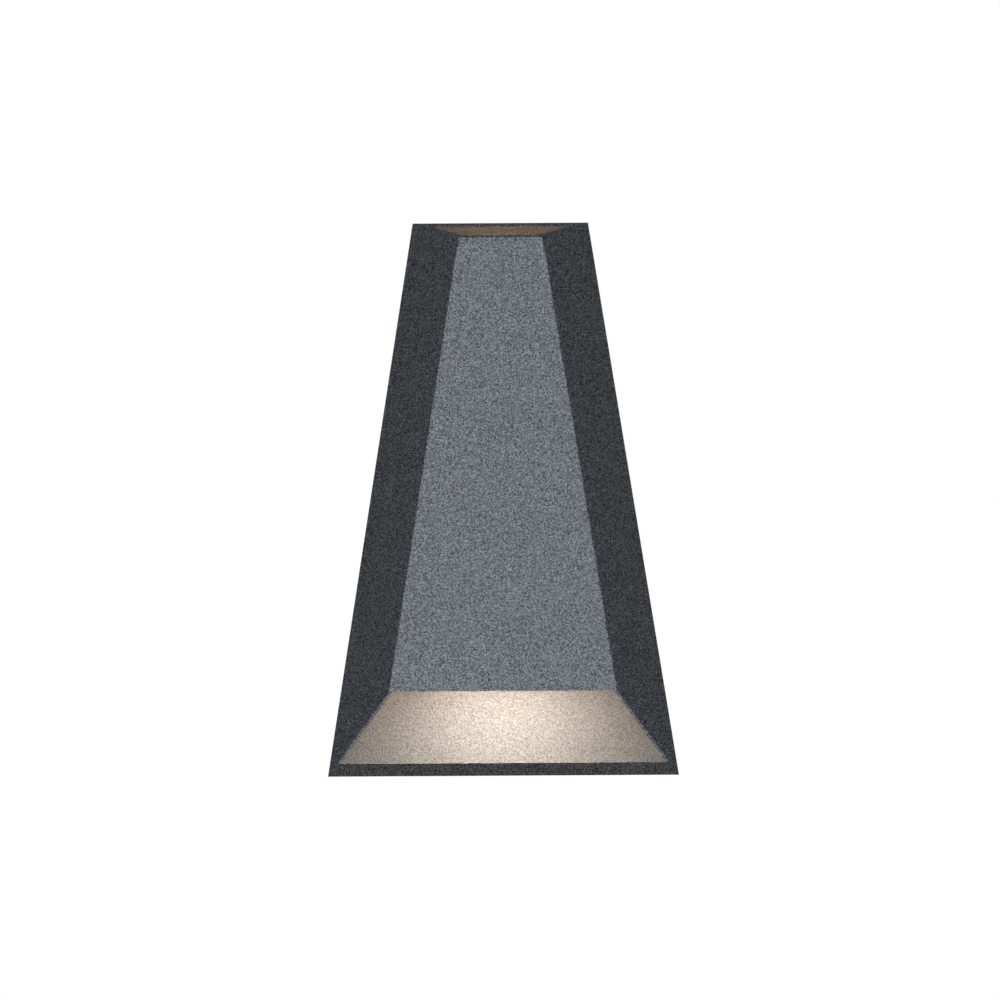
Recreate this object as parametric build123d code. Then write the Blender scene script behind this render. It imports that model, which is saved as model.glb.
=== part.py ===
from build123d import *
import os
from collections import namedtuple
from math import hypot, radians, sqrt, tan

# The wall is the plane y = 0, the front faces -Y and +Z is up. All sizes are millimetres.
# The origin is on the wall, at the middle of the mounting strap.
# The word reach means the distance from the wall.

# Outline of the light
height = 280.0
base_width = 178.0
top_width = 89.0
depth = 95.0
front_inset = 26.0
top_fall = 11.2
bottom_rise = 46.8

# Clearances
wall_clearance = 0.5
slide_clearance = 0.4
lip_clearance = 0.2
hole_clearance = 0.3
thread_clearance = 0.05
seat_clearance = 0.1
lamp_clearance = 4.0
board_clearance = 1.0

# Shell and the bosses that its screws go into
shell_wall = 2.0
front_edge_round = 0.8
front_bevel_height = 1.1
front_bevel_depth = 2.4
mouth_round = 1.0
boss_radius = 4.5
boss_length = 10.0
boss_setback = 9.0
boss_rib = 2.2

# Back pan and the gasket between it and the wall
pan_depth = 15.0
pan_panel = 2.5
pan_rim = 5.0
pan_bevel_height = 0.8
pan_bevel_depth = 3.0
lip_height = 3.0
lip_draft = 2.5
pan_boss_radius = 4.0
pan_boss_length = 5.0
gasket_height = 1.0
groove_width = 2.4
groove_depth = 2.0

# Mounting strap
strap_length = 106.0
strap_width = 22.0
strap_sheet = 2.0
slot_spacing = 79.4
slot_length = 15.0
slot_width = 5.0
strap_screw_spacing = 44.0

# Cable grommet
grommet_x = -18.0
grommet_z = -26.0
grommet_bore = 3.5
grommet_neck = 6.4
grommet_lip = 8.4
grommet_lip_height = 2.0
grommet_round = 0.8

# Shelves that carry the lamps
shelf_sheet = 2.0
shelf_bend = 1.8
lower_shelf_setback = 21.2
upper_shelf_setback = 24.8
flange_height = 12.0
flange_screw_height = 7.0
shelf_screw_spacing = 40.0
drain_notch = 7.0

# Lamps: heat sink, board, chip, seal, lens and ring
sink_size = 42.0
sink_base = 4.0
fin_height = 14.0
fin_thickness = 1.6
fin_count = 7
board_radius = 11.5
board_thickness = 1.6
board_notch = 1.7
board_notch_count = 6
chip_size = 13.0
chip_base = 0.6
phosphor_radius = 5.5
phosphor_height = 0.5
seal_height = 1.0
lens_radius = 15.0
lens_flange = 2.0
dome_radius = 11.0
dome_height = 6.0
dome_wall = 1.6
ring_radius = 23.0
ring_height = 5.0
ring_bevel = 1.2
ring_screw_circle = 19.0
ring_screw_count = 3
ring_counterbore = 1.9

# Driver
driver_z = 40.0
driver_width = 36.0
driver_height = 44.0
driver_depth = 20.0
driver_corner = 4.0
driver_edge = 1.2
driver_foot_width = 14.0
driver_foot_height = 60.0
driver_foot_thickness = 3.0
driver_foot_corner = 5.0
driver_screw_spacing = 52.0
lid_height = 4.0
lid_line = 0.8
gland_spacing = 22.0
gland_radius = 3.0
gland_length = 6.0

# Terminal block
block_x = 24.0
block_z = -27.0
block_width = 36.0
block_height = 18.0
block_depth = 16.0
block_edge = 0.6
pole_count = 3
pole_pitch = 12.0
web_width = 6.2
web_depth = 9.5
well_radius = 2.2
well_depth = 7.0
well_spacing = 9.0
entry_depth = 5.0
clamp_radius = 1.9
clamp_height = 5.0
clamp_slot_width = 0.7
clamp_slot_depth = 1.0

# Leads and their clip
lead_radius = 1.3
lead_reach = 18.5
lead_exit = 8.0
lead_entry = 9.0
lead_rise = 9.5
lead_swing = 15.0
lead_swing_x = -4.5
lead_drop = 8.0
lead_approach = 9.0
lead_landing = 10.0
fin_landing = 3.0
entry_gap = 1.0
arc_share = 0.45
clip_run = 22.0
clip_z = -35.0
clip_width = 9.0
clip_height = 5.0
clip_wall = 1.6
clip_round = 2.0

# Screws: thread sizes, how far they go in, and the head's sizes as shares of the thread
large_screw = 4.0
small_screw = 3.0
pan_screw_grip = 5.5
cover_screw_grip = 7.0
ring_screw_grip = 3.0
strap_screw_end = 0.3
head_width_share = 1.9
head_height_share = 0.55
head_round_share = 0.3
socket_width_share = 0.64
socket_depth_share = 0.3
socket_sides = 6

# How far a cut runs past the piece that it opens
cut_margin = 10.0

# Slopes of the sides, the top cut and the bottom cut
taper = (base_width - top_width) / 2 / height
lean = front_inset / depth
rise = bottom_rise / depth
fall = top_fall / depth

# Places that several pieces share
foot_z = -height / 2
crown_z = height / 2
panel_back = pan_depth - pan_panel
inside_front = depth - shell_wall
inner_sides = shell_wall + slide_clearance
boss_reach = inside_front - boss_setback
window_radius = board_radius + board_clearance
lens_seat = -(shelf_sheet + seal_height)
lens_face = lens_seat - lens_flange
ring_face = -(shelf_sheet + ring_height)
fin_pitch = (sink_size - fin_thickness) / (fin_count - 1)
driver_face = pan_depth + driver_depth
block_face = pan_depth + block_depth
gland_end = driver_height / 2 + gland_length
backward = Vector(0, 1, 0)
forward = Vector(0, -1, 0)

# The two ends of the light: the height of the shelf's inner face, the way in from it and the lamp's reach
End = namedtuple("End", "level inward lamp_reach")
lower = End(foot_z + bottom_rise + lower_shelf_setback, 1, inside_front - lamp_clearance - ring_radius)
upper = End(crown_z - top_fall - upper_shelf_setback, -1,
            boss_reach - boss_radius - lamp_clearance - ring_radius)
ends = {"lower": lower, "upper": upper}


def point(x, reach, z):
    """A point given by its distance from the wall."""
    return Vector(x, -reach, z)


def half_width(z, reach, inset=0.0):
    """Half the light's width at one height and reach, with its sides moved in by inset."""
    return base_width / 2 - taper * (z - foot_z) - lean * reach - inset * sqrt(1 + taper**2 + lean**2)


def outline(reach, sides, top, bottom):
    """The light's four corners at one reach, with its sides, top and bottom moved in."""
    low = foot_z + rise * reach + bottom * hypot(1, rise)
    high = crown_z - fall * reach - top * hypot(1, fall)
    turns = ((1, low), (1, high), (-1, high), (-1, low))
    return [point(hand * half_width(z, reach, sides), reach, z) for hand, z in turns]


def tapered_block(near, far, sides=0.0, top=0.0, bottom=0.0):
    """The light's form between two reaches, with its sides, top and bottom moved in."""
    rear = outline(near, sides, top, bottom)
    front = outline(far, sides, top, bottom)
    walls = [rear, front]
    for this in range(len(rear)):
        after = (this + 1) % len(rear)
        walls.append([rear[this], rear[after], front[after], front[this]])
    return Solid(Shell([Face(Wire.make_polygon(corners)) for corners in walls]))


def layer(start, end):
    """All of the light's space between two heights."""
    return Pos(0, 0, (start + end) / 2) * Box(2 * base_width, 2 * depth, abs(end - start))


def rod(radius, start, end):
    """A round bar from one point to another."""
    return Solid.make_cylinder(radius, (end - start).length, Plane(start, z_dir=end - start))


def bar(x, width, near, far, start, end):
    """A square-edged bar, given by its middle x, its reaches and its heights."""
    return Pos(point(x, (near + far) / 2, (start + end) / 2)) * Box(width, abs(far - near), abs(end - start))


def pair(spacing):
    """The two places of a pair about zero."""
    return (-spacing / 2, spacing / 2)


def lamp_place(end):
    """The lamp's frame: on the shelf's inner face, with z pointing into the light."""
    return Location(Plane(point(0, end.lamp_reach, end.level), x_dir=(1, 0, 0), z_dir=(0, 0, end.inward)))


def ring_screw_places():
    """The places of the lens ring's screws in the lamp's frame."""
    return PolarLocations(ring_screw_circle, ring_screw_count, start_angle=90)


def boss_places(end):
    """The middles of the two cover bosses, on the shelf's inner face."""
    x = half_width(end.level, boss_reach, shell_wall) - boss_setback
    return [point(hand * x, boss_reach, end.level) for hand in (-1, 1)]


def shelf_screw_places(end):
    """Where the shelf's flange is screwed to the pan, on the pan's face."""
    z = end.level + end.inward * flange_screw_height
    return [point(x, pan_depth, z) for x in pair(shelf_screw_spacing)]


def driver_screw_places():
    """The driver's screws, on the pan's face."""
    return [point(0, pan_depth, driver_z + z) for z in pair(driver_screw_spacing)]


def pole_places():
    """The x places of the terminal block's poles."""
    first = block_x - pole_pitch * (pole_count - 1) / 2
    return [first + pole_pitch * pole for pole in range(pole_count)]


def block_screw_places():
    """The terminal block's screws, between its poles, on the pan's face."""
    return [point(x + pole_pitch / 2, pan_depth, block_z) for x in pole_places()[:-1]]


def well_places():
    """The terminal block's screw wells, two to a pole, on the block's face."""
    return [point(x, block_face, block_z + z) for x in pole_places() for z in pair(well_spacing)]


def button_screw(size, seat, direction, length):
    """A socket screw whose head rests at seat and whose shank runs along direction."""
    place = Plane(seat, z_dir=direction)
    head_height = head_height_share * size
    head = extrude(place * Circle(head_width_share * size / 2), -head_height)
    head = fillet(head.edges().sort_by(Axis(seat, direction))[0], head_round_share * size)
    shank = extrude(place * Circle(size / 2), length)
    hexagon = RegularPolygon(socket_width_share * size / 2, socket_sides, major_radius=False)
    socket = extrude(place.offset(-head_height) * hexagon, socket_depth_share * size)
    return head + shank - socket


def lips(clearance=0.0):
    """The pan's top and bottom lips, as wide as the shell, with inner faces that draw apart to the front."""
    outward = [-clearance] * 3
    body = tapered_block(wall_clearance - clearance, pan_depth + clearance, *outward)
    low = foot_z + rise * pan_depth + lip_height + clearance
    high = crown_z - fall * pan_depth - lip_height - clearance
    space = []
    for reach in (-cut_margin, pan_depth + cut_margin):
        draft = lip_draft * (1 - reach / pan_depth)
        space += [(-reach, low + draft), (-reach, high - draft)]
    rear_low, rear_high, front_low, front_high = space
    between = Polygon(rear_low, front_low, front_high, rear_high, align=None)
    return body - extrude(Plane.YZ * between, base_width, both=True)


def shell():
    """The tapered shade: a front and two sides, open at top and bottom, with bosses for its screws."""
    body = tapered_block(wall_clearance, depth)
    front = body.faces().sort_by(Axis.Y)[0]
    body = chamfer(front.edges().sort_by(Axis.Z)[-1], front_bevel_height, front_bevel_depth, reference=front)
    long_edges = body.faces().sort_by(Axis.Y)[0].edges().sort_by(SortBy.LENGTH)[-2:]
    body = fillet(long_edges, front_edge_round)
    body -= tapered_block(0, inside_front, shell_wall, -cut_margin, -cut_margin)
    mouth_reach = (pan_depth + inside_front) / 2
    mouth_z = foot_z + rise * mouth_reach
    for hand in (-1, 1):
        inner_edge = point(hand * half_width(mouth_z, mouth_reach, shell_wall), mouth_reach, mouth_z)
        body = fillet(body.edges().sort_by_distance(inner_edge)[0], min(mouth_round, shell_wall / 2))
    front_foot = foot_z + bottom_rise
    under_front = tapered_block(inside_front, depth, shell_wall, 0, -cut_margin)
    body -= under_front & layer(front_foot, front_foot - cut_margin)
    body -= lips(lip_clearance)
    for end in ends.values():
        inner = Vector(0, 0, end.inward)
        for place in boss_places(end):
            foot = place + inner * seat_clearance
            tip = foot + inner * boss_length
            body += rod(boss_radius, foot, tip)
            body += bar(place.X, boss_rib, boss_reach, inside_front + shell_wall / 2, foot.Z, tip.Z)
            drilled = foot + inner * (cover_screw_grip + hole_clearance)
            body -= rod(large_screw / 2 + thread_clearance, foot, drilled)
    return body


def cover_screws(end):
    """The screws that go through the shelf's open slots into the shell's bosses."""
    inner = Vector(0, 0, end.inward)
    length = shelf_sheet + seat_clearance + cover_screw_grip
    return [button_screw(large_screw, place - inner * shelf_sheet, inner, length)
            for place in boss_places(end)]


def wall_gasket():
    """The foam cord that lies in the pan's groove and meets the wall."""
    start = (pan_rim - groove_width) / 2
    stop = start + groove_width
    far = gasket_height + groove_depth
    outer = tapered_block(0, far, inner_sides + start, start, start)
    return outer - tapered_block(0, far, inner_sides + stop, stop, stop)


def back_pan():
    """The cast tray: a panel, a rim with lips and the gasket's groove, and bosses behind."""
    body = tapered_block(gasket_height, pan_depth, inner_sides) + lips()
    front = body.faces().sort_by(Axis.Y)[0]
    body = chamfer(front.edges().sort_by(Axis.Z)[-1], pan_bevel_height, pan_bevel_depth, reference=front)
    body -= tapered_block(0, panel_back, inner_sides + pan_rim, pan_rim, pan_rim)
    body -= wall_gasket()
    large = [place for end in ends.values() for place in shelf_screw_places(end)]
    small = driver_screw_places() + block_screw_places()
    for size, places in ((large_screw, large), (small_screw, small)):
        for place in places:
            tip = place + backward * (pan_panel + pan_boss_length)
            body += rod(pan_boss_radius, place + backward * pan_panel, tip)
            body -= rod(size / 2 + thread_clearance, place, tip)
    for x in pair(strap_screw_spacing):
        body -= rod(large_screw / 2 + hole_clearance, point(x, pan_depth, 0), point(x, panel_back, 0))
    inlet = point(grommet_x, pan_depth, grommet_z)
    return body - rod(grommet_neck + seat_clearance, inlet, inlet + backward * pan_panel)


def mounting_strap():
    """The steel strap on the wall, with a slot near each end for the wall box's screws."""
    sheet = SlotOverall(strap_length, strap_width)
    for x in pair(slot_spacing):
        sheet -= Pos(x, 0) * SlotOverall(slot_length, slot_width)
    for x in (*pair(strap_screw_spacing), 0):
        sheet -= Pos(x, 0) * Circle(large_screw / 2 + thread_clearance)
    return extrude(Plane.XZ * sheet, strap_sheet)


def strap_screws():
    """The screws that draw the pan on to the strap."""
    length = pan_depth - strap_screw_end
    return [button_screw(large_screw, point(x, pan_depth, 0), backward, length)
            for x in pair(strap_screw_spacing)]


def earth_screw():
    """The earth screw in the middle of the strap."""
    return button_screw(large_screw, point(0, strap_sheet, 0), backward, strap_sheet - strap_screw_end)


def cable_grommet():
    """The rubber bush in the pan where the supply comes in."""
    place = Plane(point(grommet_x, panel_back, grommet_z), z_dir=forward)
    body = extrude(place * Circle(grommet_neck), pan_panel)
    for face, lip_height in ((place, -grommet_lip_height), (place.offset(pan_panel), grommet_lip_height)):
        lip = extrude(face * Circle(grommet_lip), lip_height)
        away = Axis(face.origin, face.z_dir * lip_height)
        body += fillet(lip.edges().sort_by(away)[-1], grommet_round)
    bore_length = pan_panel + 2 * grommet_lip_height
    return body - extrude(place.offset(-grommet_lip_height) * Circle(grommet_bore), bore_length)


def shelf(end):
    """A bent sheet with a flange on the pan, a window for the lamp and open slots for the cover screws."""
    outer_z = end.level - end.inward * shelf_sheet
    flange_z = end.level + end.inward * flange_height
    form = tapered_block(pan_depth, inside_front - slide_clearance, inner_sides)
    body = form & layer(outer_z, end.level)
    body += tapered_block(pan_depth, pan_depth + shelf_sheet, inner_sides) & layer(outer_z, flange_z)
    rear_edges = body.faces().sort_by(Axis.Y)[-1].edges().filter_by(Axis.X)
    body = fillet(rear_edges.sort_by(Axis((0, 0, 0), (0, 0, end.inward)))[0], shelf_bend)
    for hand in (-1, 1):
        corner_x = hand * half_width(end.level, pan_depth, inner_sides)
        body -= bar(corner_x, 2 * drain_notch, 0, pan_depth + drain_notch,
                    end.level - flange_height - shelf_sheet, end.level + flange_height + shelf_sheet)
    for place in shelf_screw_places(end):
        body -= rod(large_screw / 2 + hole_clearance, place, place + forward * shelf_sheet)
    slot_radius = large_screw / 2 + hole_clearance
    for place in boss_places(end):
        body -= rod(slot_radius, place, Vector(place.X, place.Y, outer_z))
        body -= bar(place.X, 2 * slot_radius, boss_reach, depth, end.level, outer_z)
    through = Pos(0, 0, -shelf_sheet / 2)
    body -= lamp_place(end) * through * Cylinder(window_radius, shelf_sheet)
    for place in ring_screw_places():
        body -= lamp_place(end) * place * through * Cylinder(small_screw / 2 + hole_clearance, shelf_sheet)
    return body


def shelf_screws():
    """The screws that hold both shelves' flanges on the pan."""
    length = shelf_sheet + pan_screw_grip
    return [button_screw(large_screw, place + forward * shelf_sheet, backward, length)
            for end in ends.values() for place in shelf_screw_places(end)]


def heat_sink(end):
    """A finned plate on the shelf's inner face, drilled for the ring's screws."""
    body = Pos(0, 0, sink_base / 2) * Box(sink_size, sink_size, sink_base)
    for fin in range(fin_count):
        x = (fin - (fin_count - 1) / 2) * fin_pitch
        body += Pos(x, 0, sink_base + fin_height / 2) * Box(fin_thickness, sink_size, fin_height)
    drilled = ring_screw_grip + hole_clearance
    for place in ring_screw_places():
        body -= place * Pos(0, 0, drilled / 2) * Cylinder(small_screw / 2 + thread_clearance, drilled)
    return lamp_place(end) * body


def led_board(end):
    """The round board on the heat sink, with notches round its edge."""
    disc = Circle(board_radius)
    for place in PolarLocations(board_radius, board_notch_count):
        disc -= place * Circle(board_notch)
    return lamp_place(end) * extrude(disc, -board_thickness)


def led_chip(end):
    """The square chip on the board, with its round phosphor."""
    face = Plane.XY.offset(-board_thickness)
    body = extrude(face * Rectangle(chip_size, chip_size), -chip_base)
    body += extrude(face.offset(-chip_base) * Circle(phosphor_radius), -phosphor_height)
    return lamp_place(end) * body


def lens_seal(end):
    """The flat ring seal between the shelf and the lens."""
    band = Circle(lens_radius) - Circle(window_radius)
    return lamp_place(end) * extrude(Plane.XY.offset(-shelf_sheet) * band, -seal_height)


def lens(end):
    """The frosted dome with its flange."""
    inner_radius = dome_radius - dome_wall
    crown = lens_face - dome_height
    path = TangentArc((0, crown), (dome_radius, lens_face), tangent=(1, 0))
    path += Polyline((dome_radius, lens_face), (lens_radius, lens_face), (lens_radius, lens_seat),
                     (inner_radius, lens_seat), (inner_radius, lens_face))
    path += TangentArc((0, crown + dome_wall), (inner_radius, lens_face), tangent=(1, 0))
    path += Line((0, crown + dome_wall), (0, crown))
    return lamp_place(end) * revolve(Plane.XZ * make_face(path), Axis.Z)


def lens_ring(end):
    """The bevelled ring that clamps the lens and its seal on the shelf."""
    rebate = lens_radius + hole_clearance
    window = dome_radius + board_clearance
    profile = Polyline((rebate, -shelf_sheet), (ring_radius, -shelf_sheet),
                       (ring_radius, ring_face + ring_bevel), (ring_radius - ring_bevel, ring_face),
                       (window + ring_bevel, ring_face), (window, ring_face + ring_bevel),
                       (window, lens_face), (rebate, lens_face), close=True)
    body = revolve(Plane.XZ * make_face(profile), Axis.Z)
    shank_radius = small_screw / 2 + hole_clearance
    head_radius = head_width_share * small_screw / 2 + hole_clearance
    for place in ring_screw_places():
        body -= place * Pos(0, 0, ring_face + ring_height / 2) * Cylinder(shank_radius, ring_height)
        body -= place * Pos(0, 0, ring_face + ring_counterbore / 2) * Cylinder(head_radius, ring_counterbore)
    return lamp_place(end) * body


def ring_screws(end):
    """The screws that go through the ring and the shelf into the heat sink."""
    length = ring_height - ring_counterbore + shelf_sheet + ring_screw_grip
    screws = []
    for place in ring_screw_places():
        seat = place.position + Vector(0, 0, ring_face + ring_counterbore)
        screws.append(lamp_place(end) * button_screw(small_screw, seat, Vector(0, 0, 1), length))
    return screws


def led_driver():
    """The sealed driver: a case with a lid line on a long foot, with glands for its leads."""
    low, high = (driver_z + z for z in pair(driver_height))
    case = bar(0, driver_width, pan_depth, driver_face, low, high)
    case = fillet(case.edges().filter_by(Axis.Y), driver_corner)
    case = fillet(case.faces().sort_by(Axis.Y)[0].edges(), driver_edge)
    seam = Plane.XZ.offset(driver_face - lid_height) * Pos(0, driver_z)
    waist = RectangleRounded(driver_width - 2 * lid_line, driver_height - 2 * lid_line,
                             driver_corner - lid_line)
    case -= extrude(seam * (Rectangle(2 * driver_width, 2 * driver_height) - waist), lid_line)
    foot = RectangleRounded(driver_foot_width, driver_foot_height, driver_foot_corner)
    body = case + extrude(Plane.XZ.offset(pan_depth) * Pos(0, driver_z) * foot, driver_foot_thickness)
    for place in driver_screw_places():
        body -= rod(small_screw / 2 + hole_clearance, place, place + forward * driver_foot_thickness)
    left, right = pair(gland_spacing)
    for x, hand in ((left, -1), (right, -1), (right, 1)):
        inside = point(x, lead_reach, driver_z)
        body += rod(gland_radius, inside, inside + Vector(0, 0, hand * gland_end))
    return body


def driver_screws():
    """The screws through the driver's foot."""
    length = driver_foot_thickness + pan_screw_grip
    return [button_screw(small_screw, place + forward * driver_foot_thickness, backward, length)
            for place in driver_screw_places()]


def terminal_block():
    """The three-pole block: a well for each clamp screw and a round entry for each wire."""
    low, high = (block_z + z for z in pair(block_height))
    body = bar(block_x, block_width, pan_depth, block_face, low, high)
    for place in block_screw_places():
        body -= bar(place.X, web_width, pan_depth + web_depth, block_face, low, high)
    pole_faces = body.faces().filter_by(Axis.Y).group_by(Axis.Y)[0]
    body = chamfer(pole_faces.edges(), block_edge)
    for place in well_places():
        body -= rod(well_radius, place, place + backward * well_depth)
    for x in pole_places():
        for z, hand in ((low, 1), (high, -1)):
            mouth = point(x, lead_reach, z)
            body -= rod(lead_radius + hole_clearance, mouth, mouth + Vector(0, 0, hand * entry_depth))
    for place in block_screw_places():
        body -= rod(small_screw / 2 + hole_clearance, place, place + forward * web_depth)
    return body


def clamp_screws():
    """The slotted brass screws at the bottom of the block's wells."""
    screws = []
    for place in well_places():
        foot = place + backward * well_depth
        head = foot + forward * clamp_height
        slot = bar(head.X, 2 * clamp_radius, -head.Y - clamp_slot_depth, -head.Y,
                   head.Z - clamp_slot_width / 2, head.Z + clamp_slot_width / 2)
        screws.append(rod(clamp_radius, foot, head) - slot)
    return screws


def block_screws():
    """The screws that hold the terminal block by the webs between its poles."""
    length = web_depth + pan_screw_grip
    return [button_screw(small_screw, place + forward * web_depth, backward, length)
            for place in block_screw_places()]


def lead(name, *points):
    """A round lead through the points, with each bend as wide as its two runs allow."""
    arcs = []
    for before, corner, after in zip(points, points[1:], points[2:]):
        turn = radians((corner - before).get_angle(after - corner))
        shorter = min((corner - before).length, (after - corner).length)
        arcs.append(arc_share * shorter / tan(turn / 2))
    print(name, "bend radii", [round(arc, 1) for arc in arcs])
    path = FilletPolyline(*points, radius=arcs)
    return sweep(Plane(path @ 0, z_dir=path % 0) * Circle(lead_radius), path)


def supply_lead():
    """From the driver down to the terminal block."""
    x = gland_spacing / 2
    start = driver_z - gland_end
    entry_x = pole_places()[0]
    entry_z = block_z + block_height / 2
    return lead("supply_lead", point(x, lead_reach, start), point(x, lead_reach, start - lead_exit),
                point(entry_x, lead_reach, entry_z + lead_entry),
                point(entry_x, lead_reach, entry_z - entry_depth + entry_gap))


def lower_lead():
    """From the driver, between the grommet and the terminal block, to the lower heat sink's edge."""
    x = -gland_spacing / 2
    start = driver_z - gland_end
    end_reach = lower.lamp_reach - sink_size / 2
    end_z = lower.level + lead_radius + slide_clearance
    above, below = clip_z + clip_run / 2, clip_z - clip_run / 2
    landing = end_reach - lead_landing
    return lead("lower_lead", point(x, lead_reach, start), point(x, lead_reach, start - lead_exit),
                point(lead_swing_x, lead_reach, above + lead_swing), point(0, lead_reach, above),
                point(0, lead_reach, below), point(0, landing - lead_approach, end_z + lead_drop),
                point(0, landing, end_z), point(0, end_reach, end_z))


def upper_lead():
    """From the driver up between two fins of the upper heat sink."""
    x = gland_spacing / 2
    start = driver_z + gland_end
    end_x = fin_pitch + fin_pitch / 2
    end_reach = upper.lamp_reach - sink_size / 2 + fin_landing
    end_z = upper.level - sink_base
    return lead("upper_lead", point(x, lead_reach, start), point(x, lead_reach, start + lead_rise),
                point(end_x, end_reach, end_z - lead_rise), point(end_x, end_reach, end_z))


def lead_clip():
    """The saddle that holds the lower lead on the pan."""
    low, high = (clip_z + z for z in pair(clip_height))
    body = bar(0, clip_width, pan_depth, lead_reach + lead_radius + clip_wall, low, high)
    body = fillet(body.faces().sort_by(Axis.Y)[0].edges().filter_by(Axis.Z), clip_round)
    return body - rod(lead_radius + seat_clearance, point(0, lead_reach, low), point(0, lead_reach, high))


nodes = {
    "shell": [shell()],
    "back_pan": [back_pan()],
    "wall_gasket": [wall_gasket()],
    "mounting_strap": [mounting_strap()],
    "strap_screws": strap_screws(),
    "earth_screw": [earth_screw()],
    "cable_grommet": [cable_grommet()],
    "shelf_screws": shelf_screws(),
    "led_driver": [led_driver()],
    "driver_screws": driver_screws(),
    "terminal_block": [terminal_block()],
    "clamp_screws": clamp_screws(),
    "block_screws": block_screws(),
    "supply_lead": [supply_lead()],
    "lower_lead": [lower_lead()],
    "upper_lead": [upper_lead()],
    "lead_clip": [lead_clip()],
}
for side, end in ends.items():
    nodes[f"{side}_cover_screws"] = cover_screws(end)
    nodes[f"{side}_shelf"] = [shelf(end)]
    nodes[f"{side}_heat_sink"] = [heat_sink(end)]
    nodes[f"{side}_led_board"] = [led_board(end)]
    nodes[f"{side}_led_chip"] = [led_chip(end)]
    nodes[f"{side}_lens_seal"] = [lens_seal(end)]
    nodes[f"{side}_lens"] = [lens(end)]
    nodes[f"{side}_lens_ring"] = [lens_ring(end)]
    nodes[f"{side}_ring_screws"] = ring_screws(end)

os.makedirs("parts", exist_ok=True)
for node, solids in nodes.items():
    export_step(Compound(children=solids), f"parts/{node}.step")
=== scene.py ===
import math

import bpy
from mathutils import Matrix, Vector


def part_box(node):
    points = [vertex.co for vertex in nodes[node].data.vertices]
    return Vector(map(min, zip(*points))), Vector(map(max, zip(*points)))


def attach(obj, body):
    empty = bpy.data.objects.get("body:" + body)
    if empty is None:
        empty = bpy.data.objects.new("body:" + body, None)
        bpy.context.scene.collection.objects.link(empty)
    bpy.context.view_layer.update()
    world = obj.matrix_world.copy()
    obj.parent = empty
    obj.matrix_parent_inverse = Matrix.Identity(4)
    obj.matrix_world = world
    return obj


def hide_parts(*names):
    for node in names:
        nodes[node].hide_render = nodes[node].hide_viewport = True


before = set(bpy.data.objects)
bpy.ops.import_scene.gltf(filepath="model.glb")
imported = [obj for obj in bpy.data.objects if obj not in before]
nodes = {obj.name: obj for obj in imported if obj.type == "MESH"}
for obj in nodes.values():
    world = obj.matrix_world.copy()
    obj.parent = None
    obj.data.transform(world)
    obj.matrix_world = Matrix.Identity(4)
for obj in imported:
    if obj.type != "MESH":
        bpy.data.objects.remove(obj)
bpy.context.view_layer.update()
scene = bpy.context.scene
scene.view_settings.view_transform = "Standard"

# Photograph's frame, in pixels, and the metres that a pixel covers at the wall
image_side = 1000
light_centre_pixel = (501.9, 499.6)
pixel_at_wall = 0.0005062

# Camera, in metres and degrees, with its sensor in millimetres
camera_distance = 2.5
camera_roll = 0.33
sensor_width = 36.0

# The light's own lamps: places in metres, directions, spreads in degrees, and colours in linear light
lower_lamp = Vector((0.0, -0.066, -0.084))
upper_lamp = Vector((0.0, -0.0525, 0.116))
beam_direction = Vector((0, 0.42, -0.91))
spill_direction = Vector((0, 0.26, -0.97))
upper_direction = Vector((0, 0.26, 0.97))
beam_spread = 140
wide_spread = 180
beam_colour = (0.855, 1.01, 1.08)
spill_colour = (1.46, 1.0, 0.6)
upper_lamp_colour = (1.62, 1.0, 0.52)
lens_glow = (1.0, 0.86, 0.68)
chip_glow = (1.0, 0.8, 0.5)

# Base colours, in linear light
black = (0, 0, 0)
white = (1, 1, 1)
shell_grey = (0.168, 0.184, 0.205)
# The pan's grey is darker than the shell's: partly its own paint, partly painted shade on its faces that
# look forward or down
pan_grey = (0.070, 0.0735, 0.079)
foam_black = (0.035, 0.035, 0.036)
rubber_black = (0.02, 0.02, 0.02)
screw_grey = (0.52, 0.52, 0.51)
oxide_black = (0.035, 0.035, 0.037)
earth_green = (0.05, 0.25, 0.08)
brass_yellow = (0.7, 0.52, 0.24)
aluminium_grey = (0.7, 0.7, 0.72)
silicone_white = (0.55, 0.55, 0.53)
driver_grey = (0.72, 0.72, 0.70)
terminal_cream = (0.78, 0.77, 0.72)
clip_grey = (0.70, 0.70, 0.68)
sheath_white = (0.75, 0.75, 0.73)

# Powder coat: sizes in metres, and the multiple of its colour that the palest grain may reach
grain_size = 0.00038
grain_stretch = (1, 0.5, 1)
ripple_size = 0.0011
ripple_stretch = (1, 0.6, 1)
display_power = 2.2
mean_tone_rise = 0.53
palest_grain = 4.0

# Directions of tool lines: turned screws, and extruded heat sinks
turned_lines = (0.2, 1, 1)
extruded_lines = (1, 0.05, 1)

# Usual lowest and highest value of a noise texture
noise_low = 0.3
noise_high = 0.7


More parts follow.
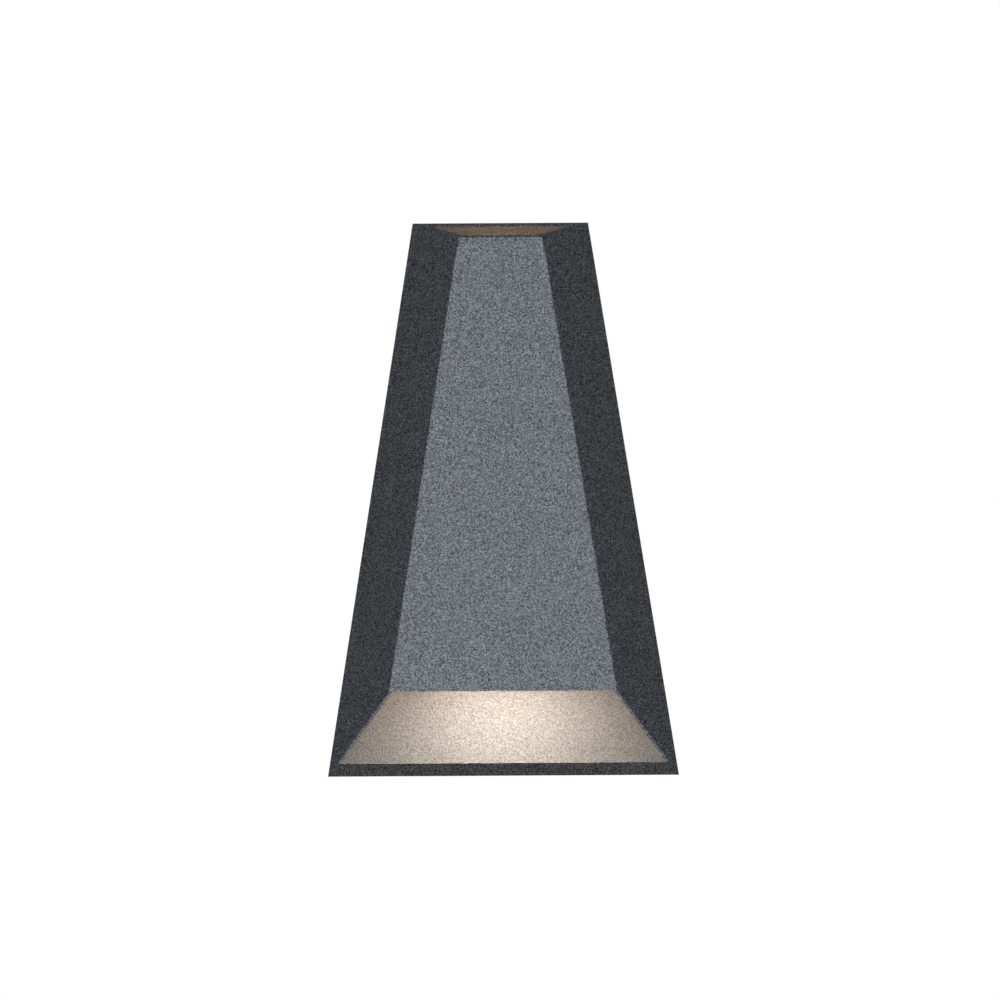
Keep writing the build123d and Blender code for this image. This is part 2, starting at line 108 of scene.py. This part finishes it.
class Finish:
    """A principled material and the texture nodes that feed it, in the object's own metres."""

    def __init__(self, name, **constants):
        self.material = bpy.data.materials.new(name)
        self.material.use_nodes = True
        self.tree = self.material.node_tree
        self.shader = self.tree.nodes["Principled BSDF"]
        self.place = self.tree.nodes.new("ShaderNodeTexCoord").outputs["Object"]
        for socket, value in constants.items():
            self.shader.inputs[socket.replace("_", " ")].default_value = value

    def feed(self, socket, value):
        """Links a socket to another one, or sets it."""
        if isinstance(value, bpy.types.NodeSocket):
            self.tree.links.new(value, socket)
        else:
            socket.default_value = value

    def add(self, kind, inputs=(), **settings):
        node = self.tree.nodes.new(kind)
        for key, value in settings.items():
            setattr(node, key, value)
        for key, value in dict(inputs).items():
            self.feed(node.inputs[key], value)
        return node

    def stretched(self, stretch):
        node = self.add("ShaderNodeMapping", {"Vector": self.place, "Scale": stretch})
        return node.outputs["Vector"]

    def noise(self, size, detail=2.0, stretch=(1, 1, 1)):
        """Cloudy noise with features of about that size, in metres."""
        settings = {"Vector": self.stretched(stretch), "Scale": 1 / size, "Detail": detail}
        return self.add("ShaderNodeTexNoise", settings).outputs["Fac"]

    def cells(self, size, output="Distance", stretch=(1, 1, 1)):
        """Cells of about that size, in metres."""
        settings = {"Vector": self.stretched(stretch), "Scale": 1 / size}
        return self.add("ShaderNodeTexVoronoi", settings).outputs[output]

    def channel(self, colour):
        """The red channel of a colour."""
        return self.add("ShaderNodeSeparateColor", {"Color": colour}).outputs["Red"]

    def spread(self, value, start, end, low=0.0, high=1.0):
        """The value mapped from start..end to low..high."""
        settings = {"Value": value, "From Min": start, "From Max": end, "To Min": low, "To Max": high}
        return self.add("ShaderNodeMapRange", settings).outputs["Result"]

    def clouded(self, noise, low=0.0, high=1.0):
        """A noise mapped from its usual values to low..high."""
        return self.spread(noise, noise_low, noise_high, low, high)

    def worked_out(self, kind, operation, values):
        node = self.add(kind, operation=operation)
        for socket, value in zip(node.inputs, values):
            self.feed(socket, value)
        return node.outputs["Value"]

    def maths(self, operation, *numbers):
        """A number worked out from numbers."""
        return self.worked_out("ShaderNodeMath", operation, numbers)

    def measure(self, operation, *vectors):
        """A number worked out from vectors."""
        return self.worked_out("ShaderNodeVectorMath", operation, vectors)

    def blend(self, factor, low, high):
        """A colour from low to high."""
        # The mix node's colour sockets go by number, because its other kinds share their names
        node = self.add("ShaderNodeMix", data_type="RGBA")
        factor_socket, low_socket, high_socket = (node.inputs[index] for index in (0, 6, 7))
        self.feed(factor_socket, factor)
        for socket, colour in ((low_socket, low), (high_socket, high)):
            self.feed(socket, (*colour, 1.0) if isinstance(colour, tuple) else colour)
        return node.outputs[2]

    def set(self, socket, value):
        self.tree.links.new(value, self.shader.inputs[socket])

    def glow(self, colour):
        self.shader.inputs["Emission Color"].default_value = (*colour, 1.0)

    def bump(self, height, depth):
        """Relief of that depth, in metres."""
        settings = {"Height": height, "Distance": depth}
        self.set("Normal", self.add("ShaderNodeBump", settings).outputs["Normal"])


def shaded(colour, factor):
    """The colour times a factor."""
    return tuple(channel * factor for channel in colour)


def powder_coat(name, colour, contrast, flat_contrast, relief, unshaded_colour=None):
    """Sand-textured powder coat of dark and pale grains.

    The contrast is for outer faces that slant or look sideways, and the flat contrast for the rest; the
    stronger grain on those slanting faces is painted relief shading, as grazing light would show it.
    A second colour may be laid on the outer faces that look sideways or up; the darker colour left on
    faces that look forward or down is then painted shade. The grains' tones are spread evenly as a
    display shows them, and divided by their mean, so that the colour stays.
    """
    finish = Finish(name, Specular_IOR_Level=0.0)
    speck = finish.channel(finish.cells(grain_size, output="Color", stretch=grain_stretch))
    grain = finish.spread(speck, start=0.1, end=0.9, low=-1.0, high=1.0)
    true_normal = finish.add("ShaderNodeNewGeometry").outputs["True Normal"]
    normal = finish.add("ShaderNodeSeparateXYZ", {"Vector": true_normal}).outputs
    outside = finish.maths("GREATER_THAN", finish.measure("DOT_PRODUCT", finish.place, true_normal), 0.0)
    sideways_or_up = finish.maths("MAXIMUM", finish.maths("ABSOLUTE", normal["X"]), normal["Z"])
    unshaded_faces_mask = finish.maths("MULTIPLY", sideways_or_up, outside)
    facing = finish.maths("ABSOLUTE", normal["Y"])
    # Painted relief shading: outer faces that slant away from the front get the stronger contrast, as
    # grazing light on the relief would show it
    painted_relief_shade_mask = finish.maths("MULTIPLY", finish.spread(facing, start=0.9, end=0.4), outside)
    swing = finish.spread(painted_relief_shade_mask, 0.0, 1.0, low=flat_contrast, high=contrast)
    tone = finish.maths("POWER", finish.maths("MULTIPLY_ADD", grain, swing, 1.0), display_power)
    swing_squared = finish.maths("MULTIPLY", swing, swing)
    mean_tone = finish.maths("MULTIPLY_ADD", swing_squared, mean_tone_rise, 1.0)
    share = finish.maths("MULTIPLY", finish.maths("DIVIDE", tone, mean_tone), 1 / palest_grain)
    full = shaded(colour, palest_grain)
    # Painted shade: where a second colour is given, outer faces that look sideways or up take it, and faces
    # that look forward or down keep the darker base colour as painted shade
    if unshaded_colour:
        unshaded_full = shaded(unshaded_colour, palest_grain)
        full = finish.blend(finish.spread(unshaded_faces_mask, start=0.6, end=0.8), full, unshaded_full)
    finish.set("Base Color", finish.blend(share, black, full))
    finish.set("Roughness", finish.spread(speck, 0.0, 1.0, low=0.75, high=0.95))
    finish.bump(finish.noise(ripple_size, detail=1.0, stretch=ripple_stretch), relief)
    return finish.material


def plain_plastic(name, colour, roughness, pit_size, relief):
    """Moulded plastic with a fine spark texture and faint handling marks."""
    finish = Finish(name, Specular_IOR_Level=0.4)
    texture = finish.noise(pit_size, detail=3.0)
    marks = finish.spread(finish.noise(size=0.012, detail=4.0), start=0.35, end=0.7)
    finish.set("Base Color", finish.blend(marks, colour, shaded(colour, factor=0.86)))
    finish.set("Roughness", finish.clouded(texture, low=roughness - 0.08, high=roughness + 0.12))
    finish.bump(texture, relief)
    return finish.material


def worked_metal(name, colour, stretch, roughness, line_size):
    """Bare metal with tool or die lines along one direction."""
    finish = Finish(name, Metallic=1.0)
    depth_share = 0.15
    lines = finish.noise(line_size, detail=3.0, stretch=stretch)
    stain = finish.spread(finish.noise(size=0.009, detail=4.0), start=0.4, end=0.75)
    finish.set("Base Color", finish.blend(stain, colour, shaded(colour, factor=0.72)))
    finish.set("Roughness", finish.clouded(lines, low=roughness - 0.1, high=roughness + 0.15))
    finish.bump(lines, line_size * depth_share)
    return finish.material


def zinc_plate(name):
    """Zinc-plated steel with faint spangles."""
    finish = Finish(name, Metallic=1.0)
    dark_zinc = (0.25, 0.25, 0.245)
    pale_zinc = (0.40, 0.40, 0.385)
    tone = finish.spread(finish.cells(size=0.0022, output="Color"), start=0.0, end=1.0)
    finish.set("Base Color", finish.blend(tone, dark_zinc, pale_zinc))
    finish.set("Roughness", finish.spread(tone, 0.0, 1.0, low=0.34, high=0.52))
    finish.bump(finish.noise(size=0.0006), depth=0.00004)
    return finish.material


def soft_rubber(name, colour, pore_size, relief):
    """Matt rubber or closed-cell foam with open pores at its skin."""
    finish = Finish(name, Specular_IOR_Level=0.2)
    pores = finish.cells(pore_size)
    tone = finish.spread(pores, start=0.0, end=0.7)
    finish.set("Base Color", finish.blend(tone, shaded(colour, factor=0.45), shaded(colour, factor=1.5)))
    finish.set("Roughness", finish.spread(pores, 0.0, 0.8, low=0.75, high=0.95))
    finish.bump(pores, relief)
    return finish.material


def lead_sheath(name, colour):
    """Glossy extruded sheath with faint drawing lines."""
    finish = Finish(name, Specular_IOR_Level=0.5)
    lines = finish.noise(size=0.0012, stretch=(1, 1, 0.15))
    finish.set("Base Color", finish.blend(finish.clouded(lines), shaded(colour, factor=0.85), colour))
    finish.set("Roughness", finish.clouded(lines, low=0.3, high=0.48))
    finish.bump(lines, depth=0.00005)
    return finish.material


def frosted_lens(name, lamp, strength):
    """Frosted dome, brightest over the chip."""
    finish = Finish(name, Roughness=0.55, Specular_IOR_Level=0.5)
    dim_frost = (0.82, 0.80, 0.76)
    pale_frost = (0.92, 0.9, 0.86)
    glow_radius = 0.016
    frost = finish.noise(size=0.0008, detail=3.0)
    from_lamp = finish.measure("DISTANCE", finish.place, lamp)
    glow = finish.spread(from_lamp, start=0.0, end=glow_radius, low=1.0, high=0.3)
    finish.set("Base Color", finish.blend(finish.clouded(frost), dim_frost, pale_frost))
    finish.glow(lens_glow)
    finish.set("Emission Strength", finish.maths("MULTIPLY", glow, strength))
    finish.bump(frost, depth=0.00004)
    return finish.material


def led_board(name):
    """White solder mask, faintly clouded."""
    finish = Finish(name, Roughness=0.45)
    dim_mask = (0.74, 0.74, 0.72)
    pale_mask = (0.84, 0.84, 0.82)
    cloud = finish.clouded(finish.noise(size=0.004, detail=3.0))
    finish.set("Base Color", finish.blend(cloud, dim_mask, pale_mask))
    finish.bump(finish.noise(size=0.0007), depth=0.00003)
    return finish.material


def phosphor(name):
    """Glowing yellow phosphor, finely grained."""
    finish = Finish(name, Roughness=0.5, Emission_Strength=2.0)
    deep_yellow = (0.78, 0.5, 0.08)
    pale_yellow = (0.9, 0.68, 0.16)
    grains = finish.clouded(finish.noise(size=0.0004))
    finish.set("Base Color", finish.blend(grains, deep_yellow, pale_yellow))
    finish.glow(chip_glow)
    finish.bump(grains, depth=0.00003)
    return finish.material


def paint_nodes():
    """Lays a finish on every node but the gasket, which the foam cord stands for."""
    # The shell's stronger grain on its slanting sides is painted relief shading
    coat = powder_coat("grey_paint", shell_grey, contrast=0.66, flat_contrast=0.36, relief=0.0010)
    inner_coat = powder_coat("inner_grey_paint", shell_grey, contrast=0.4, flat_contrast=0.4, relief=0.0004)
    # The pan's darker grey on faces that look forward or down is painted shade; its outer faces that look
    # sideways or up take the shell's grey
    pan_coat = powder_coat(
        "pan_paint", pan_grey, contrast=0.62, flat_contrast=0.17, relief=0.0003, unshaded_colour=shell_grey
    )
    screw_steel = worked_metal("screw_steel", screw_grey, turned_lines, roughness=0.36, line_size=0.0005)
    black_screws = worked_metal("black_screws", oxide_black, turned_lines, roughness=0.5, line_size=0.0006)
    green_screw = worked_metal("earth_green", earth_green, turned_lines, roughness=0.42, line_size=0.0005)
    brass = worked_metal("terminal_brass", brass_yellow, turned_lines, roughness=0.32, line_size=0.0005)
    aluminium = worked_metal("aluminium", aluminium_grey, extruded_lines, roughness=0.38, line_size=0.0006)
    silicone = soft_rubber("silicone", silicone_white, pore_size=0.0009, relief=0.00003)
    rubber = soft_rubber("rubber", rubber_black, pore_size=0.0006, relief=0.00003)
    driver_case = plain_plastic(
        "driver_case", driver_grey, roughness=0.55, pit_size=0.0007, relief=0.00005
    )
    terminal = plain_plastic(
        "terminal_plastic", terminal_cream, roughness=0.35, pit_size=0.0010, relief=0.00003
    )
    clip = plain_plastic("clip_plastic", clip_grey, roughness=0.5, pit_size=0.0006, relief=0.00004)
    board = led_board("board")
    chip = phosphor("phosphor")
    lead_white = lead_sheath("lead_white", sheath_white)
    finishes = {
        "shell": coat,
        "back_pan": pan_coat,
        "mounting_strap": zinc_plate("zinc_steel"),
        "earth_screw": green_screw,
        "cable_grommet": rubber,
        "led_driver": driver_case,
        "terminal_block": terminal,
        "clamp_screws": brass,
        "lead_clip": clip,
        "supply_lead": lead_sheath("lead_black", rubber_black),
        "lower_lead": lead_white,
        "upper_lead": lead_white,
        "lower_lens": frosted_lens("lower_lens", lower_lamp, strength=1.5),
        "upper_lens": frosted_lens("upper_lens", upper_lamp, strength=1.1),
    }
    for group in ("strap_screws", "shelf_screws", "driver_screws", "block_screws"):
        finishes[group] = screw_steel
    for side in ("lower", "upper"):
        finishes[f"{side}_cover_screws"] = black_screws
        finishes[f"{side}_ring_screws"] = black_screws
        finishes[f"{side}_shelf"] = inner_coat
        finishes[f"{side}_lens_ring"] = inner_coat
        finishes[f"{side}_heat_sink"] = aluminium
        finishes[f"{side}_led_board"] = board
        finishes[f"{side}_led_chip"] = chip
        finishes[f"{side}_lens_seal"] = silicone
    for name, finish in finishes.items():
        nodes[name].data.materials.clear()
        nodes[name].data.materials.append(finish)


def groove_corners(node, outer, depth_share):
    """The four corners of a closed cord's outer or inner edge.

    The depth share goes from its wall face (0) to its groove's floor (1).
    """
    near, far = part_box(node)
    level_tolerance = 1e-5
    middle_z = (near.z + far.z) / 2
    level = far.y + (near.y - far.y) * depth_share
    places = [v.co for v in nodes[node].data.vertices if abs(v.co.y - level) < level_tolerance]
    pick = max if outer else min
    corners = []
    for right, above in ((1, -1), (1, 1), (-1, 1), (-1, -1)):
        corner = [p for p in places if p.x * right > 0 and (p.z - middle_z) * above > 0]
        corners.append(pick(corner, key=lambda p: p.x * right + p.z * above))
    return corners


def rounded_loop(corners, radius, steps):
    """Points round a four-cornered loop, from the middle of its first side back to there."""
    points = []
    start = (corners[-1] + corners[0]) / 2
    here = start
    behind = corners[-1:] + corners[:-1]
    ahead = corners[1:] + corners[:1]
    for before, corner, after, side_steps in zip(behind, corners, ahead, steps):
        entry = (corner - before).normalized()
        leaving = (after - corner).normalized()
        cut = radius / math.tan((math.pi - entry.angle(leaving)) / 2)
        first = corner - entry * cut
        last = corner + leaving * cut
        points += [here.lerp(first, step / side_steps) for step in range(side_steps)]
        for turn in (0.0, 0.25, 0.5, 0.75):
            points.append(first.lerp(corner, turn).lerp(corner.lerp(last, turn), turn))
        here = last
    points += [here.lerp(start, step / steps[0]) for step in range(steps[0] + 1)]
    return points


def foam_cord():
    """The foam cord behind the pan: crowned, pressed flat on the wall, with its ends butted below."""
    node = "wall_gasket"
    outer_wall = groove_corners(node, outer=True, depth_share=0)
    inner_wall = groove_corners(node, outer=False, depth_share=0)
    outer_floor = groove_corners(node, outer=True, depth_share=1)
    inner_floor = groove_corners(node, outer=False, depth_share=1)
    width = (outer_wall[0] - inner_wall[0]).x
    side_steps = (14, 46, 14, 46)
    least_radius_share = 0.02
    end_gap = 0.0003
    swell_depth = 0.00003
    # Points round the section: the share of the width from the outer edge, and of the depth from the wall
    section = [(0.08, 1.0), (0.92, 1.0), (1.0, 0.92), (1.0, 0.40), (1.09, 0.24), (1.05, 0.09), (0.9, 0.0),
               (0.5, 0.0), (0.1, 0.0), (-0.05, 0.09), (-0.09, 0.24), (0.0, 0.40), (0.0, 0.92)]
    rows = []
    for across, deep in section:
        corners = []
        for a, b, c, d in zip(outer_wall, inner_wall, outer_floor, inner_floor):
            corners.append(a.lerp(b, across).lerp(c.lerp(d, across), deep))
        rows.append(rounded_loop(corners, width * max(1 - across, least_radius_share), side_steps))
    count = len(rows[0])
    mesh_points = []
    for row, (across, deep) in zip(rows, section):
        row[0].x += end_gap / 2
        row[-1].x -= end_gap / 2
        for index, place in enumerate(row):
            swell = math.sin(0.9 * index) + math.sin(2.3 * index + 1.7)
            sideways = swell_depth * swell * (1 - deep) * (2 * across - 1)
            mesh_points.append(place + (rows[0][index] - rows[1][index]).normalized() * -sideways)
    faces = []
    for ring in range(len(section)):
        following = (ring + 1) % len(section)
        for index in range(count - 1):
            faces.append((ring * count + index, ring * count + index + 1,
                          following * count + index + 1, following * count + index))
    for index in (0, count - 1):
        end = [ring * count + index for ring in range(len(section))]
        faces.append(end if index else end[::-1])
    mesh = bpy.data.meshes.new("foam_cord")
    mesh.from_pydata(mesh_points, [], faces)
    mesh.validate()
    mesh.shade_smooth()
    mesh.materials.append(soft_rubber("foam", foam_black, pore_size=0.0008, relief=0.00025))
    cord = bpy.data.objects.new("foam_cord", mesh)
    scene.collection.objects.link(cord)
    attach(cord, "chassis")
    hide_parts(node)


def area_light(name, place, aim, size, power, colour=white):
    """A rectangular lamp that shines at a point and doesn't show itself."""
    data = bpy.data.lights.new(name, "AREA")
    data.shape = "RECTANGLE"
    data.size, data.size_y = size
    data.energy = power
    data.color = colour
    light = bpy.data.objects.new(name, data)
    light.location = place
    light.rotation_euler = (Vector(aim) - Vector(place)).to_track_quat("-Z", "Y").to_euler()
    light.visible_camera = False
    scene.collection.objects.link(light)
    return light


def front_place(distance, elevation):
    """A point in front of the light, so many degrees above or below it."""
    angle = math.radians(elevation)
    return (0, -distance * math.cos(angle), distance * math.sin(angle))


def light_studio():
    """Soft lamps in front, weaker ones above, beside and behind."""
    middle = (0, 0, 0)
    # Each lamp's place and size in metres, and its power in watts
    lamps = {
        "low_light": (front_place(3.5, -30), (0.8, 0.5), 74),
        "front_light": (front_place(3.5, 7), (0.8, 0.3), 41),
        "top_light": (front_place(3.0, 60), (0.8, 0.8), 9.5),
        "left_light": ((-3.0, -0.8, 0), (0.8, 0.8), 3.9),
        "right_light": ((3.0, -0.8, 0), (0.8, 0.8), 3.2),
        "back_light": ((0, 2.4, -1.7), (1.2, 1.2), 50),
        "high_back_light": ((0, 2.6, 1.2), (1.2, 1.2), 20),
    }
    for name, (place, size, power) in lamps.items():
        area_light(name, place, middle, size, power)


def light_lamps():
    """The light's own lamps: a narrow cool beam and a wide warm spill below, and a dim warm one above."""
    # Each lamp's place, direction, spread, size in metres, power in watts and colour
    lamps = {
        "lower_beam": (lower_lamp, beam_direction, beam_spread, (0.05, 0.02), 0.15, beam_colour),
        "lower_spill": (lower_lamp, spill_direction, wide_spread, (0.06, 0.02), 0.4, spill_colour),
        "upper_glow": (upper_lamp, upper_direction, wide_spread, (0.055, 0.02), 0.039, upper_lamp_colour),
    }
    for name, (place, direction, spread, size, power, colour) in lamps.items():
        lamp = area_light(name, place, place + direction, size, power, colour)
        lamp.data.spread = math.radians(spread)
        lamp.visible_glossy = False


def seen_ray(tree):
    """One for rays that the camera sends straight, by a reflection or through glass, and else zero."""
    path = tree.nodes.new("ShaderNodeLightPath")
    seen = path.outputs["Is Camera Ray"]
    for kind in ("Is Glossy Ray", "Is Transmission Ray"):
        either = tree.nodes.new("ShaderNodeMath")
        either.operation = "MAXIMUM"
        tree.links.new(seen, either.inputs[0])
        tree.links.new(path.outputs[kind], either.inputs[1])
        seen = either.outputs["Value"]
    return seen


def background(tree, strength):
    node = tree.nodes.new("ShaderNodeBackground")
    node.inputs["Color"].default_value = (*white, 1.0)
    node.inputs["Strength"].default_value = strength
    return node.outputs["Background"]


def white_world():
    """White behind the object, and a faint fill on it."""
    fill_strength = 0.03
    white_strength = 1.0
    world = bpy.data.worlds.new("studio")
    world.use_nodes = True
    scene.world = world
    tree = world.node_tree
    tree.nodes.clear()
    choice = tree.nodes.new("ShaderNodeMixShader")
    tree.links.new(seen_ray(tree), choice.inputs["Fac"])
    tree.links.new(background(tree, fill_strength), choice.inputs[1])
    tree.links.new(background(tree, white_strength), choice.inputs[2])
    output = tree.nodes.new("ShaderNodeOutputWorld")
    tree.links.new(choice.outputs["Shader"], output.inputs["Surface"])


def lay_floor():
    """A pale floor below the light, out of the photograph's view, that hides nothing from below."""
    drop = 2.0
    half = 6.0
    fade_start = 2.2
    fade_end = 5.5
    lit_grey = (0.1, 0.1, 0.1)
    dim_white = (0.86, 0.86, 0.86)
    pale_white = (0.88, 0.88, 0.88)
    mesh = bpy.data.meshes.new("floor")
    corners = [(-half, -half, -drop), (half, -half, -drop), (half, half, -drop), (-half, half, -drop)]
    mesh.from_pydata(corners, [], [(0, 1, 2, 3)])
    floor = bpy.data.objects.new("floor", mesh)
    scene.collection.objects.link(floor)
    finish = Finish("floor", Roughness=0.9, Specular_IOR_Level=0.0)
    finish.glow(white)
    pale = finish.blend(finish.clouded(finish.noise(size=0.05)), dim_white, pale_white)
    seen = seen_ray(finish.tree)
    finish.set("Base Color", finish.blend(seen, lit_grey, pale))
    distance = finish.measure("LENGTH", finish.place)
    whiter = finish.spread(distance, fade_start, fade_end, low=0.5, high=1.0)
    finish.set("Emission Strength", finish.maths("MULTIPLY", seen, whiter))
    below = finish.add("ShaderNodeNewGeometry").outputs["Backfacing"]
    clear = finish.add("ShaderNodeBsdfTransparent").outputs["BSDF"]
    surface = finish.add("ShaderNodeMixShader", {"Fac": below, 1: finish.shader.outputs["BSDF"], 2: clear})
    finish.feed(finish.tree.nodes["Material Output"].inputs["Surface"], surface.outputs["Shader"])
    mesh.materials.append(finish.material)


def place_camera():
    """The photograph's camera, straight in front of the light."""
    data = bpy.data.cameras.new("camera")
    data.sensor_width = sensor_width
    data.lens = sensor_width * camera_distance / (image_side * pixel_at_wall)
    camera = bpy.data.objects.new("camera", data)
    across = (image_side / 2 - light_centre_pixel[0]) * pixel_at_wall
    down = (light_centre_pixel[1] - image_side / 2) * pixel_at_wall
    camera.location = (across, -camera_distance, down)
    camera.rotation_euler = (math.radians(90), math.radians(camera_roll), 0)
    scene.collection.objects.link(camera)
    scene.camera = camera


paint_nodes()
foam_cord()
light_studio()
light_lamps()
white_world()
lay_floor()
place_camera()
